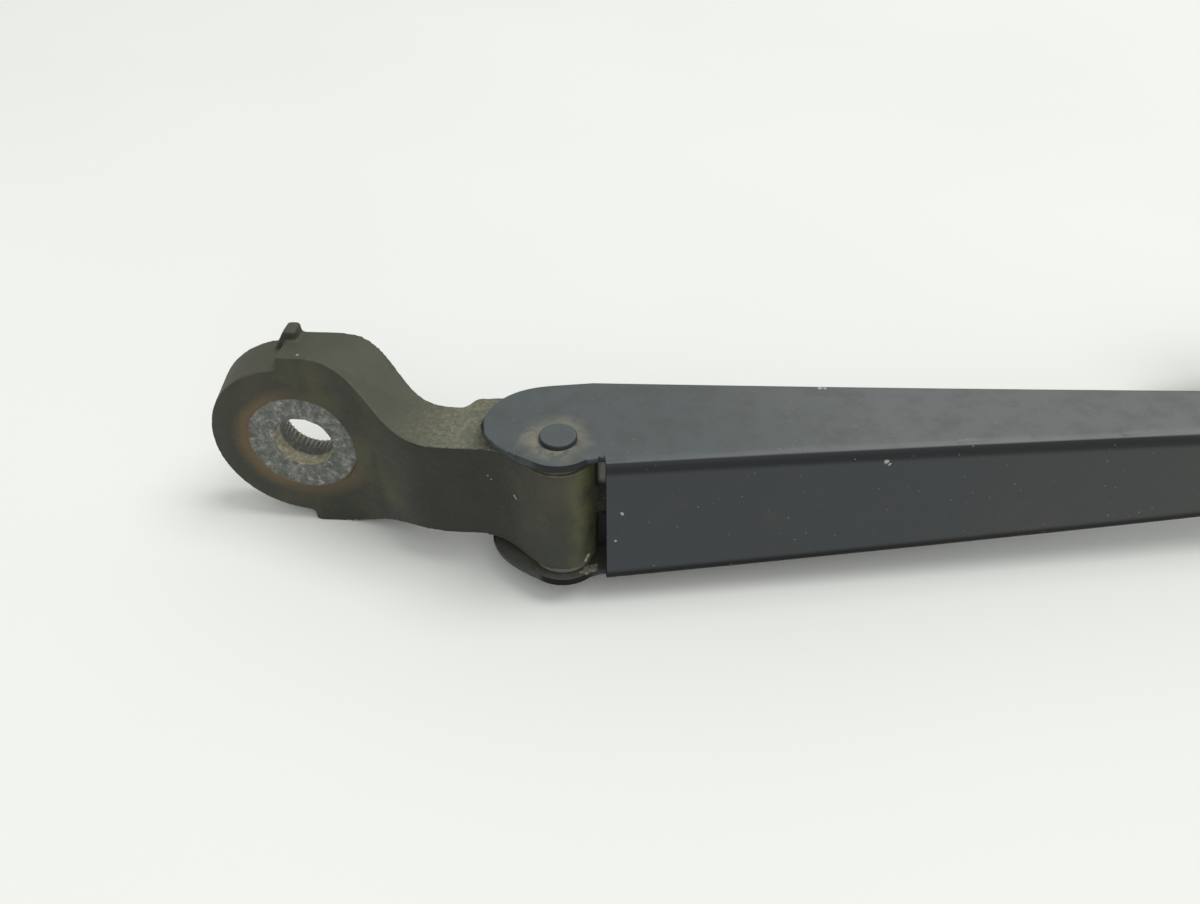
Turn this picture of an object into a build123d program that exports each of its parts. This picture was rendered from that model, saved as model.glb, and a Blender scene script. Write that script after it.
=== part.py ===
from build123d import *
from math import acos, asin, atan2, cos, degrees, radians, sin
import os

# A rear wiper lying on its side: a cast pivot head, a pressed-steel arm hinged to it by a rivet,
# the spring that pulls the arm to the glass, and a plain moulded blade on the arm's hook.
# Frame: the origin is the centre of the spindle bore on the nut seat of the head. +X runs along
# the head towards the arm, +Y points to the glass, and +Z is parallel to the hinge rivet.
# The arm and the blade are drawn in the arm's own frame, with its origin on the rivet's axis.

# Pivot head, millimetres
BORE_R = 4.65            # spindle bore at the nut side
BORE_BACK_R = 5.05       # wide end of the bore's taper, on the glass side
BORE_LIP = 2.6           # straight length below the nut seat
SEAT_R = 8.8             # bare ring that the flange nut sits on
SEAT_DEPTH = 0.4         # the seat lies this far below the nut face
EYE_R = 14.15            # round eye at the nut face
EYE_BACK_R = 15.1        # and on the glass side, wider by the casting's draft
EYE_X = -0.3             # eye's centre beside the bore
EYE_THICK = 7.6
STEP_X = -1.0            # where the round eye steps out to the wide body
STEP_HALF = 16.45        # half height of the wide body
STEP_FILLET = 0.8
SHOULDER_X = 2.5         # the wide body starts to narrow here on the nut side
SHOULDER_BACK_X = 6.8    # and here on the glass side
WAIST_X = 22.5           # it is as narrow as the neck here on the nut side
WAIST_BACK_X = 24.6      # and here on the glass side
NECK_HALF = 8.55
FACE_END_X = 3.0         # the front leaves the nut face here
FRONT_RAMP_X = 25.5      # and reaches the neck's front here
BACK_START_X = 8.5       # the same ramp on the glass side
BACK_RAMP_X = 26.0
NECK_BACK_Y = -0.2       # glass side of the neck
NECK_FRONT = 1.05        # neck's front, this far behind the rivet's axis
LUG_WIDTH = 2.1          # small cast lug on the rim of the wide body
LUG_TOP = 1.8            # its width at the top
LUG_LEAN = 2.0           # its outer side slopes down to the eye over this length
LUG_DEPTH = 3.0
LUG_HEIGHT = 1.7

# Hinge
RIVET_X = 42.5           # rivet's axis from the spindle, along the head
RIVET_RISE = 11.1        # and how far it stands in front of the nut seat
RIVET_R = 2.0
RIVET_HEAD_R = 2.67
RIVET_HEAD = 0.8
HINGE_GAP = 0.04         # running clearance of the rivet in the bushes, on the radius
STAKE_GAP = 0.02         # clearance of what is pressed or staked, on the radius
BARREL_R = 5.25
BARREL_REACH = 13.0      # the neck starts to swell into the barrel this far from the rivet
HEEL_REACH = 7.1         # flat flank beside the slot, from the rivet's axis along the head
HEEL_FRONT = 0.7         # it starts this far behind the rivet's axis
HEEL_LENGTH = 6.0
BUSH_R = 3.0
BUSH_FLANGE_R = 4.6
BUSH_FLANGE = 1.2
BUSH_LENGTH = 4.6
BUSH_PLAY = 0.17         # free play between a bush's flange and the ear
FOLD = 10.0              # degrees that the relaxed arm is folded towards the glass

# Spring pin, link and spring
PIN_BACK = 9.2           # spring pin behind the rivet's axis
PIN_SIDE = -1.0          # and beside it
PIN_R = 1.75
PIN_LOBE_R = 4.2
SLOT_HALF = 2.75         # half height of the slot for the link
LINK_HALF = 1.25
LINK_EYE_R = 3.3
LINK_WIDTH = 3.8
LINK_LENGTH = 17.0
LINK_BOW = 3.6           # the link bows out so that it clears the barrel when the arm is lifted
WIRE_R = 0.75
COIL_R = 3.2
COIL_TURNS = 16.25       # the hooks stand a quarter turn apart
HOOK_HOLE_PLAY = 0.7

# Arm channel
SHEET = 1.2
CHANNEL_HALF = 11.7      # half height at the hinge
CHANNEL_MID = (82.0, 9.5)
CHANNEL_END = (155.0, 6.4)
WEB_FRONT = 6.15         # web's outer face, in front of the rivet's axis
WEB_START = 6.1
FOLD_R = 1.9
EAR_R = 5.95             # round lobe of the ear about the rivet
EAR_TIP = (-10.8, 4.4)
EAR_BACK = 12.9          # ear's glass-side edge from the rivet's axis
FLANGE_MID = (58.0, 7.55)
FLANGE_END = 1.0
RELIEF = 0.9             # width of the notch between the ear and the web

# Arm bar with its hook
BAR_WIDTH = 9.0
BAR_THICK = 3.0
BAR_LIP = 2.2            # bar beyond the hole for the spring's hook
TONGUE_WIDTH = 4.6       # the inner end is narrow, to lie inside the spring's hook
TONGUE_LENGTH = 8.0
BAR_JOGGLE = 4.0         # the inner end stands off the web for the spring's hook
JOGGLE_LENGTH = 9.0
ANCHOR_X = 86.0
HOOK_X = 285.0           # centre of the hook's bend
HOOK_GAP = 8.0
HOOK_LEG = 16.0
BAR_RIVET_X = (122.0, 146.0)
BAR_RIVET_R = 2.0
BAR_RIVET_HEAD_R = 3.3
BAR_RIVET_HEAD = 1.0

# Blade
BLADE_LENGTH = 300.0
CLIP_LENGTH = 22.0
CLIP_PLAY = 0.1
BLADE_PIN_BACK = 9.0     # blade pin from the centre of the hook's bend
BLADE_PIN_R = 2.0
CHEEK_GAP = 0.5          # each side of the bar
CHEEK = 2.0
CHEEK_R = 4.5
CHEEK_LENGTH = 40.0
BEAM_TOP = 4.0           # beam's outer edge at mid length, below the pin
BEAM_END_TOP = 16.0
BEAM_END_HALF = 5.4
POCKET_FLOOR = 11.0      # floor of the pocket for the hook, below the pin
RUBBER_BACK = 20.0       # rubber's back, below the pin
GRIP_DEPTH = 4.3         # the moulding reaches this far down the rubber

# Rubber section: half widths, and depths from its back
RUBBER_HEAD_HALF = 3.0
RUBBER_HEAD_DEPTH = 3.2
RUBBER_TOP = 1.0         # rubber above the groove for the rails
RUBBER_NECK_HALF = 0.9
RUBBER_NECK_DEPTH = 4.5
RUBBER_WING_HALF = 2.4
RUBBER_WING_DEPTH = 5.4
LIP_ROOT_HALF = 0.7
LIP_ROOT_DEPTH = 7.0
LIP_HALF = 0.35
LIP_DEPTH = 12.0
RUBBER_FIT = 0.1
RAIL_THICK = 0.9
RAIL_WIDTH = 2.5
RAIL_INSET = 1.0         # the rails end this far inside the rubber's ends

# Places worked out from the sizes above
FACE_Y = -SEAT_DEPTH
EYE_BACK_Y = FACE_Y + EYE_THICK
RIVET_Y = -RIVET_RISE
RIVET = Vector(RIVET_X, RIVET_Y)
PIN = Vector(RIVET_X + PIN_SIDE, RIVET_Y + PIN_BACK)
EAR_INNER = CHANNEL_HALF - SHEET
BARREL_HALF = EAR_INNER - BUSH_PLAY - BUSH_FLANGE
NECK_Y = RIVET_Y + NECK_FRONT
NECK_END_X = RIVET_X - BARREL_REACH
FAR = 40.0
ARM = Location((RIVET_X, RIVET_Y, 0), (0, 0, FOLD))
PIN_ARM = Vector(PIN_SIDE, PIN_BACK).rotate(Axis.Z, -FOLD)
WEB_Y = -WEB_FRONT
BAR_Y = WEB_Y + SHEET + BAR_THICK / 2
BAR_START = ANCHOR_X - BAR_LIP
ANCHOR = Vector(ANCHOR_X, BAR_Y + BAR_JOGGLE)
BEND_R = HOOK_GAP / 2 + BAR_THICK / 2
BLADE_PIN = Vector(HOOK_X - BLADE_PIN_BACK, BAR_Y + BEND_R)
CHEEK_IN = BAR_WIDTH / 2 + CHEEK_GAP
CHEEK_OUT = CHEEK_IN + CHEEK
BLADE = ARM * Location((BLADE_PIN.X, BLADE_PIN.Y, 0))


def polar(centre, radius, angle):
    """Point on a circle in the XY plane, angle in degrees."""
    return Vector(centre.X + radius * cos(radians(angle)), centre.Y + radius * sin(radians(angle)))


def ramp(start, end, direction=1):
    """S-curve that leaves and arrives along the X axis."""
    return Spline(start, end, tangents=[(direction, 0), (direction, 0)])


def pillar(radius, low, high, centre=Vector(0, 0)):
    """Round bar along Z from low to high."""
    body = Cylinder(radius, high - low, align=(Align.CENTER, Align.CENTER, Align.MIN))
    return Pos(centre.X, centre.Y, low) * body


def block(x, y, z):
    """Box between the given ranges."""
    body = Box(x[1] - x[0], y[1] - y[0], z[1] - z[0], align=Align.MIN)
    return Pos(x[0], y[0], z[0]) * body


def slab(face, half):
    """Flat face thickened by half to each side, with no seam in the middle."""
    normal = face.face().normal_at()
    return extrude(Pos(*(normal * -half)) * face, 2 * half, dir=normal)


def save(solid, name, place=Location()):
    placed = place * solid
    export_step(placed, f"parts/{name}.step")


def head_side():
    """Side profile of the casting: nut face, neck, hinge barrel and the lobe for the spring pin."""
    left = -EYE_R
    barrel_in = polar(RIVET, BARREL_R, 240)
    rest = degrees(asin(HEEL_FRONT / BARREL_R))
    barrel_out = polar(RIVET, BARREL_R, rest)
    flank = RIVET + Vector(HEEL_REACH, HEEL_FRONT)
    flank_end = flank + Vector(0, HEEL_LENGTH)
    reach = flank_end - PIN
    side = degrees(atan2(reach.Y, reach.X) + acos(PIN_LOBE_R / reach.length))
    lobe_in = polar(PIN, PIN_LOBE_R, side)
    heel = PIN.Y + PIN_LOBE_R
    outline = [
        Line((left, FACE_Y), (FACE_END_X, FACE_Y)),
        ramp((FACE_END_X, FACE_Y), (FRONT_RAMP_X, NECK_Y)),
        Line((FRONT_RAMP_X, NECK_Y), (NECK_END_X, NECK_Y)),
        Spline((NECK_END_X, NECK_Y), barrel_in, tangents=[(1, 0), polar(Vector(0, 0), 1, -30)]),
        ThreePointArc(barrel_in, polar(RIVET, BARREL_R, (rest - 120) / 2), barrel_out),
        Polyline(barrel_out, flank, flank_end, lobe_in),
        ThreePointArc(lobe_in, polar(PIN, PIN_LOBE_R, (side + 90) / 2), (PIN.X, heel)),
        Line((PIN.X, heel), (NECK_END_X, heel)),
        ramp((NECK_END_X, heel), (BACK_RAMP_X, NECK_BACK_Y), -1),
        ramp((BACK_RAMP_X, NECK_BACK_Y), (BACK_START_X, EYE_BACK_Y), -1),
        Line((BACK_START_X, EYE_BACK_Y), (left, EYE_BACK_Y)),
        Line((left, EYE_BACK_Y), (left, FACE_Y)),
    ]
    return slab(make_face(outline), FAR)


def head_outline(shoulder, waist):
    """Front outline of the casting: wide body, waist and barrel."""
    end = RIVET_X + FAR
    swell = RIVET_X - BARREL_R
    upper = [
        Line((STEP_X, STEP_HALF), (shoulder, STEP_HALF)),
        ramp((shoulder, STEP_HALF), (waist, NECK_HALF)),
        Line((waist, NECK_HALF), (NECK_END_X, NECK_HALF)),
        ramp((NECK_END_X, NECK_HALF), (swell, BARREL_HALF)),
        Line((swell, BARREL_HALF), (end, BARREL_HALF)),
    ]
    lower = [mirror(edge, Plane.XZ) for edge in upper]
    ends = [Line((x, half), (x, -half)) for x, half in ((STEP_X, STEP_HALF), (end, BARREL_HALF))]
    face = make_face(upper + lower + ends)
    corners = [v for v in face.vertices() if abs(v.X - STEP_X) < 0.001]
    return Plane.XZ * fillet(corners, STEP_FILLET)


def head_front():
    """The outline through the whole depth; the shoulders lean outwards towards the glass."""
    front = Pos(0, FACE_Y, 0) * head_outline(SHOULDER_X, WAIST_X)
    back = Pos(0, EYE_BACK_Y, 0) * head_outline(SHOULDER_BACK_X, WAIST_BACK_X)
    return extrude(front, FAR, dir=(0, -1, 0)) + loft([front, back], ruled=True)


def head_eye():
    """Round eye of the casting, a disc with draft."""
    edge = Polyline((0, FACE_Y), (EYE_R, FACE_Y), (EYE_BACK_R, EYE_BACK_Y), (0, EYE_BACK_Y), close=True)
    return Pos(EYE_X, 0, 0) * revolve(make_face(edge), Axis.Y)


def link_slot():
    """Slot in the barrel's glass side, where the spring link hangs on its pin."""
    pocket = block((PIN.X - PIN_LOBE_R, FAR * 2), (PIN.Y - PIN_LOBE_R, FAR), (-SLOT_HALF, SLOT_HALF))
    side = block((RIVET_X, FAR * 2), (RIVET_Y, FAR), (-SLOT_HALF, SLOT_HALF))
    side -= pillar(BARREL_R, -FAR, FAR, RIVET)
    return pocket + side


def head_lug():
    """Small lug on the rim, with a sloping outer side."""
    foot = STEP_HALF - LUG_LEAN
    crest = STEP_HALF + LUG_HEIGHT
    inner = STEP_X + LUG_WIDTH
    corners = [(STEP_X - LUG_LEAN, foot), (inner - LUG_TOP, crest), (inner, crest), (inner, foot)]
    face = make_face(Polyline(*corners, close=True))
    face = fillet(face.vertices().group_by(Axis.Y)[-1], LUG_TOP / 3)
    return Pos(0, EYE_BACK_Y, 0) * extrude(Plane.XZ * face, LUG_DEPTH, dir=(0, -1, 0))


def pivot_head():
    head = (head_side() & head_front()) + head_eye()
    root = head.edges().filter_by(lambda e: abs(e.center().X - STEP_X) < 0.1 and e.length > EYE_THICK * 0.9)
    root = root.filter_by(lambda e: abs(e.center().Z) < STEP_HALF - STEP_FILLET)
    head = fillet(root, STEP_FILLET)
    head += head_lug()
    clear = FACE_Y - EYE_THICK
    past = EYE_BACK_Y + EYE_THICK
    bore = Polyline(
        (0, clear), (SEAT_R, clear), (SEAT_R, 0), (BORE_R, 0), (BORE_R, BORE_LIP),
        (BORE_BACK_R, EYE_BACK_Y), (BORE_BACK_R, past), (0, past), close=True
    )
    head -= revolve(make_face(bore), Axis.Y)
    head -= pillar(BUSH_R + STAKE_GAP, -FAR, FAR, RIVET)
    head -= pillar(PIN_R + STAKE_GAP, -FAR, FAR, PIN)
    return head - link_slot()


def hinge_rivet():
    """Rivet through both ears, headed on each side."""
    rivet = pillar(RIVET_R, -CHANNEL_HALF, CHANNEL_HALF)
    for sign in (-1, 1):
        head = pillar(RIVET_HEAD_R, 0, RIVET_HEAD)
        head = fillet(head.edges().group_by(Axis.Z)[-1], RIVET_HEAD / 3)
        if sign < 0:
            head = mirror(head, Plane.XY)
        rivet += Pos(0, 0, sign * CHANNEL_HALF) * head
    return rivet


def hinge_bush():
    """Flanged bush, drawn for the upper end of the barrel."""
    bush = pillar(BUSH_R, BARREL_HALF - BUSH_LENGTH, BARREL_HALF)
    bush += pillar(BUSH_FLANGE_R, BARREL_HALF, BARREL_HALF + BUSH_FLANGE)
    return bush - pillar(RIVET_R + HINGE_GAP, -FAR, FAR)


def link_line():
    """Spring line in the arm's frame: unit vector from the pin to the anchor, and its normal."""
    along = (ANCHOR - PIN_ARM).normalized()
    return along, along.rotate(Axis.Z, 90)


def spring_link():
    """Flat bowed link between the spring pin and the spring's hook, in the arm's frame."""
    along, normal = link_line()
    end = PIN_ARM + along * LINK_LENGTH
    bow = PIN_ARM + along * (LINK_LENGTH / 2) + normal * LINK_BOW
    strip = trace(ThreePointArc(PIN_ARM, bow, end), LINK_WIDTH)
    plate = slab(strip, LINK_HALF)
    plate += pillar(LINK_EYE_R, -LINK_HALF, LINK_HALF, PIN_ARM)
    plate += pillar(LINK_WIDTH / 2, -LINK_HALF, LINK_HALF, end)
    plate -= pillar(PIN_R + HINGE_GAP, -FAR, FAR, PIN_ARM)
    return plate - pillar(WIRE_R + HOOK_HOLE_PLAY / 2, -FAR, FAR, end)


def tension_spring():
    """Coil with a half hook at each end, in the arm's frame."""
    along, _ = link_line()
    start = PIN_ARM + along * LINK_LENGTH
    span = (ANCHOR - start).length
    coil_length = span - 2 * COIL_R
    frame = Plane(origin=start + along * COIL_R, x_dir=(0, 0, 1), z_dir=along)
    path = Helix(coil_length / COIL_TURNS, coil_length, COIL_R)
    section = Plane(origin=path @ 0, z_dir=path % 0) * RegularPolygon(WIRE_R, 6)
    spring = sweep(section, path, is_frenet=True)
    near = ThreePointArc((COIL_R, 0, 0), (0, 0, -COIL_R), (-COIL_R, 0, 0))
    turn = Rot(0, 0, 360 * COIL_TURNS)
    far = Pos(0, 0, coil_length) * turn * ThreePointArc((COIL_R, 0, 0), (0, 0, COIL_R), (-COIL_R, 0, 0))
    for hook in (near, far):
        spring += sweep(Plane(origin=hook @ 0, z_dir=hook % 0) * Circle(WIRE_R), hook)
    return frame.location * spring


def channel_plan(inset):
    """Front outline of the channel in arm X and Z, from the hinge to the far end."""
    half, mid, end = CHANNEL_HALF - inset, CHANNEL_MID[1] - inset, CHANNEL_END[1] - inset
    edge = ThreePointArc((WEB_START, half), (CHANNEL_MID[0], mid), (CHANNEL_END[0], end))
    outline = [
        edge,
        mirror(edge, Plane.XZ),
        Line((WEB_START, half), (WEB_START, -half)),
        Line((CHANNEL_END[0], end), (CHANNEL_END[0], -end)),
    ]
    return Plane.XZ * make_face(outline)


def flange_side():
    """Side profile of the folded part: web line, far end and the flange's curved free edge."""
    web, free, end = WEB_Y, FLANGE_END, CHANNEL_END[0]
    outline = [
        Line((WEB_START, web), (end, web)),
        Line((end, web), (end, free)),
        ThreePointArc((end, free), FLANGE_MID, (WEB_START, EAR_BACK)),
        Line((WEB_START, EAR_BACK), (WEB_START, web)),
    ]
    return slab(make_face(outline), FAR)


def ear_outline():
    """Leaf-shaped ear: a round lobe about the rivet, a pointed tip and a bowed glass-side edge."""
    centre = Vector(0, 0)
    lobe = polar(centre, EAR_R, 232)
    notch = WEB_START - RELIEF
    tip = Vector(*EAR_TIP)
    inner = WEB_START
    low = WEB_Y + FOLD_R
    outline = [
        Line((inner, EAR_BACK), (0, EAR_BACK)),
        Spline((0, EAR_BACK), tip, tangents=[(-1, 0), (-0.25, -1)]),
        Spline(tip, lobe, tangents=[(0.2, -1), polar(centre, 1, -38)]),
        ThreePointArc(lobe, polar(centre, EAR_R, 270), polar(centre, EAR_R, 308)),
        Line(polar(centre, EAR_R, 308), (notch, low)),
        Line((notch, low), (inner, low)),
        Line((inner, low), (inner, EAR_BACK)),
    ]
    return make_face(outline)


def arm_channel():
    outer = slab(channel_plan(0), FAR)
    inner = slab(channel_plan(SHEET), FAR)
    long = CHANNEL_END[0] / 2
    reach = (-FAR, CHANNEL_END[0] + FAR)
    hollow = inner & block(reach, (WEB_Y + SHEET, FAR), (-FAR, FAR))
    solid = outer & block(reach, (WEB_Y, FAR / 2), (-FAR, FAR))
    folds = solid.edges().filter_by(lambda e: e.length > long).group_by(Axis.Y)[0]
    solid = fillet(folds, FOLD_R)
    folds = hollow.edges().filter_by(lambda e: e.length > long).group_by(Axis.Y)[0]
    hollow = fillet(folds, FOLD_R - SHEET)
    channel = (solid - hollow) & flange_side()
    for sign in (-1, 1):
        ear = extrude(ear_outline(), SHEET)
        channel += Pos(0, 0, EAR_INNER if sign > 0 else -CHANNEL_HALF) * ear
    channel -= pillar(RIVET_R + STAKE_GAP, -FAR, FAR)
    for x in BAR_RIVET_X:
        channel -= Pos(x, WEB_Y, 0) * Rot(90, 0, 0) * Cylinder(BAR_RIVET_R + STAKE_GAP, FAR / 4)
    return channel


def arm_bar():
    """Flat bar with a joggled inner end for the spring and a J hook for the blade."""
    top = BAR_Y + BAR_JOGGLE
    joggle_end = BAR_START + 2 * JOGGLE_LENGTH
    corners = [(BAR_START, top), (BAR_START + JOGGLE_LENGTH, top), (joggle_end, BAR_Y), (HOOK_X, BAR_Y)]
    run = FilletPolyline(*corners, radius=BAR_THICK)
    back = BAR_Y + 2 * BEND_R
    bend = ThreePointArc((HOOK_X, BAR_Y), (HOOK_X + BEND_R, BAR_Y + BEND_R), (HOOK_X, back))
    leg = Line((HOOK_X, back), (HOOK_X - HOOK_LEG, back))
    path = Wire(run.edges() + [bend.edge(), leg.edge()])
    section = Plane(origin=path @ 0, x_dir=(0, 0, 1), z_dir=path % 0) * Rectangle(BAR_WIDTH, BAR_THICK)
    bar = sweep(section, path)
    tongue = (BAR_START - TONGUE_LENGTH, BAR_START + TONGUE_LENGTH)
    bar -= block(tongue, (-FAR, FAR), (TONGUE_WIDTH / 2, FAR))
    bar -= block(tongue, (-FAR, FAR), (-FAR, -TONGUE_WIDTH / 2))
    holes = [(x, BAR_RIVET_R + STAKE_GAP) for x in BAR_RIVET_X]
    holes.append((ANCHOR_X, WIRE_R + HOOK_HOLE_PLAY))
    for x, radius in holes:
        bar -= Pos(x, BAR_Y, 0) * Rot(90, 0, 0) * Cylinder(radius, 3 * BAR_THICK + BAR_JOGGLE)
    return bar


def bar_rivet():
    """Rivet through the web and the bar, along Y, drawn at the arm's origin."""
    low, high = WEB_Y, BAR_Y + BAR_THICK / 2
    rivet = pillar(BAR_RIVET_R, -high, -low)
    face = pillar(BAR_RIVET_HEAD_R, -low, -low + BAR_RIVET_HEAD)
    rivet += fillet(face.edges().group_by(Axis.Z)[-1], BAR_RIVET_HEAD * 0.6)
    rivet += pillar(BAR_RIVET_R * 1.4, -high - BAR_RIVET_HEAD * 0.8, -high)
    return Rot(90, 0, 0) * rivet


def blade_clip():
    """Plastic clip that fills the hook and turns on the blade pin, in the blade's frame."""
    radius = HOOK_GAP / 2 - CLIP_PLAY
    nose = Vector(BLADE_PIN_BACK, 0)
    clip = pillar(radius, -BAR_WIDTH / 2, BAR_WIDTH / 2, nose)
    clip += block((nose.X - CLIP_LENGTH, nose.X), (-radius, radius), (-BAR_WIDTH / 2, BAR_WIDTH / 2))
    return clip - pillar(BLADE_PIN_R + HINGE_GAP, -FAR, FAR)


def blade_pin():
    return pillar(BLADE_PIN_R, -CHEEK_OUT, CHEEK_OUT)


def blade_plan():
    """Front outline of the blade's body, widest at the pin and tapered to both ends."""
    half = BLADE_LENGTH / 2
    mid = CHEEK_LENGTH / 2
    side = [
        Line((-mid, CHEEK_OUT), (mid, CHEEK_OUT)),
        ramp((mid, CHEEK_OUT), (half, BEAM_END_HALF)),
        ramp((-half, BEAM_END_HALF), (-mid, CHEEK_OUT)),
    ]
    ends = [Line((x, BEAM_END_HALF), (x, -BEAM_END_HALF)) for x in (-half, half)]
    return Plane.XZ * make_face(side + [mirror(edge, Plane.XZ) for edge in side] + ends)


def blade_side():
    """Side profile of the blade's body: an arched back over the straight rail of the rubber."""
    half = BLADE_LENGTH / 2
    base = RUBBER_BACK + GRIP_DEPTH
    outline = [
        ThreePointArc((-half, BEAM_END_TOP), (0, BEAM_TOP), (half, BEAM_END_TOP)),
        Line((half, BEAM_END_TOP), (half, base)),
        Line((half, base), (-half, base)),
        Line((-half, base), (-half, BEAM_END_TOP)),
    ]
    return make_face(outline)


def blade_frame():
    """One moulding: arched body, two cheeks for the pin, and the rail that holds the rubber."""
    mid = CHEEK_LENGTH / 2
    frame = slab(blade_side(), FAR) & slab(blade_plan(), FAR)
    foot = BEAM_TOP + CHEEK
    saddle = Polyline((-CHEEK_R, 0), (CHEEK_R, 0), (mid, foot), (-mid, foot), close=True)
    frame += pillar(CHEEK_R, -CHEEK_OUT, CHEEK_OUT) + slab(make_face(saddle), CHEEK_OUT)
    frame -= block((-mid, mid), (-FAR, POCKET_FLOOR), (-CHEEK_IN, CHEEK_IN))
    frame -= pillar(BLADE_PIN_R + STAKE_GAP, -FAR, FAR)
    return frame - rubber_room()


def rubber_half():
    """Half widths of the rubber down its section, from its back to the lip."""
    head = RUBBER_HEAD_HALF
    groove = head - RAIL_WIDTH * 2 / 3
    shelf = RUBBER_TOP + RAIL_THICK + RUBBER_FIT
    return [
        (head, 0), (head, RUBBER_TOP), (groove, RUBBER_TOP), (groove, shelf), (head, shelf),
        (head, RUBBER_HEAD_DEPTH), (RUBBER_NECK_HALF, RUBBER_HEAD_DEPTH),
        (RUBBER_NECK_HALF, RUBBER_NECK_DEPTH), (RUBBER_WING_HALF, RUBBER_NECK_DEPTH),
        (RUBBER_WING_HALF, RUBBER_WING_DEPTH),
        (LIP_ROOT_HALF, LIP_ROOT_DEPTH), (LIP_HALF, LIP_DEPTH),
    ]


def along_blade(points, length):
    """Symmetric section, half widths against depth, swept along the blade."""
    left = [(-z, y) for z, y in reversed(points)]
    face = make_face(Polyline(*(points + left), close=True))
    place = Plane(origin=(-length / 2, RUBBER_BACK, 0), x_dir=(0, 0, 1), z_dir=(-1, 0, 0))
    return extrude(place * face, -length)


def wiper_rubber():
    return along_blade(rubber_half(), BLADE_LENGTH)


def rubber_room():
    """Room in the claws for the rubber, its rails and its neck."""
    room = RUBBER_HEAD_HALF + RAIL_WIDTH / 3 + RUBBER_FIT
    neck = RUBBER_NECK_HALF + RUBBER_FIT
    floor = RUBBER_HEAD_DEPTH + RUBBER_FIT
    points = [(room, -RUBBER_FIT), (room, floor), (neck, floor), (neck, RUBBER_BACK)]
    return along_blade(points, BLADE_LENGTH * 2)


def rubber_rail():
    """Thin steel strip in the groove of the rubber, drawn for the upper side."""
    inner = RUBBER_HEAD_HALF - RAIL_WIDTH * 2 / 3 + RUBBER_FIT / 2
    y = RUBBER_BACK + RUBBER_TOP + RUBBER_FIT / 2
    half = BLADE_LENGTH / 2 - RAIL_INSET
    return block((-half, half), (y, y + RAIL_THICK), (inner, inner + RAIL_WIDTH))


os.makedirs("parts", exist_ok=True)
HINGE = Location((RIVET_X, RIVET_Y, 0))
save(pivot_head(), "pivot_head")
save(hinge_bush(), "hinge_bush_upper", HINGE)
save(mirror(hinge_bush(), Plane.XY), "hinge_bush_lower", HINGE)
save(pillar(PIN_R, -BARREL_HALF, BARREL_HALF, PIN), "spring_pin")
save(hinge_rivet(), "hinge_rivet", ARM)
save(arm_channel(), "arm_channel", ARM)
save(spring_link(), "spring_link", ARM)
save(tension_spring(), "tension_spring", ARM)
save(arm_bar(), "arm_bar", ARM)
for number, x in enumerate(BAR_RIVET_X, 1):
    save(bar_rivet(), f"bar_rivet_{number}", ARM * Location((x, 0, 0)))
save(blade_clip(), "blade_clip", BLADE)
save(blade_pin(), "blade_pin", BLADE)
save(blade_frame(), "blade_frame", BLADE)
save(wiper_rubber(), "wiper_rubber", BLADE)
save(rubber_rail(), "rubber_rail_upper", BLADE)
save(mirror(rubber_rail(), Plane.XY), "rubber_rail_lower", BLADE)
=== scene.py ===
# %% [markdown]
# A rear wiper lies on its side on a pale table: a cast pivot head with a worn nut seat, a pressed
# steel arm that hinges on one rivet, the spring inside the arm, and a plain moulded blade.
# The exact solids come from the CAD side. This lesson keeps their places, rounds off what a foundry
# and a press round off, and gives every piece a finish made of nodes.

# %% Load the frame
import math

import bmesh
import bpy
from mathutils import Matrix, Vector


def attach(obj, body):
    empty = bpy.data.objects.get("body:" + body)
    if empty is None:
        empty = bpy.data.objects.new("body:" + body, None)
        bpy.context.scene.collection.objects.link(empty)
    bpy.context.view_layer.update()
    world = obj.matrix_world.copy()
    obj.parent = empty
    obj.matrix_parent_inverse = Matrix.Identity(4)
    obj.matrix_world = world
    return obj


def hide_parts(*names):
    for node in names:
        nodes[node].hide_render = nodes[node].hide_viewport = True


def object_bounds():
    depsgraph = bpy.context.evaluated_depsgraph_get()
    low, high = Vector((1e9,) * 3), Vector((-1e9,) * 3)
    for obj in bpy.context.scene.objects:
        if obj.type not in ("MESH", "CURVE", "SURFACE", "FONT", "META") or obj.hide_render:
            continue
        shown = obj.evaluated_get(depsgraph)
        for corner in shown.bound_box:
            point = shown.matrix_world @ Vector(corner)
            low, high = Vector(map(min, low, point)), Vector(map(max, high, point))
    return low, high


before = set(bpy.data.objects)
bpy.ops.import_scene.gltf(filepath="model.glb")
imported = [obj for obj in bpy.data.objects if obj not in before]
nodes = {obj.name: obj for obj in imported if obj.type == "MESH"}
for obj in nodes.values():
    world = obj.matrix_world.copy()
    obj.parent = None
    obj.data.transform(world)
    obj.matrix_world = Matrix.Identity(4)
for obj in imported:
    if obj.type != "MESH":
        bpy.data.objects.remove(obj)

MM = 0.001
cad_box = [list(corner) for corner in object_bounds()]
scene = bpy.context.scene
scene.view_settings.view_transform = "Standard"
print("pieces in the frame:", len(nodes), "box", cad_box)

# %% [markdown]
# The camera stands close above the arm and looks down at about 39 degrees, a little from the left,
# through a wide lens, which is why the eye looks large and the arm runs away to the right. Placing
# it by angles keeps each number readable: pitch, azimuth and a very small roll.

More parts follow.
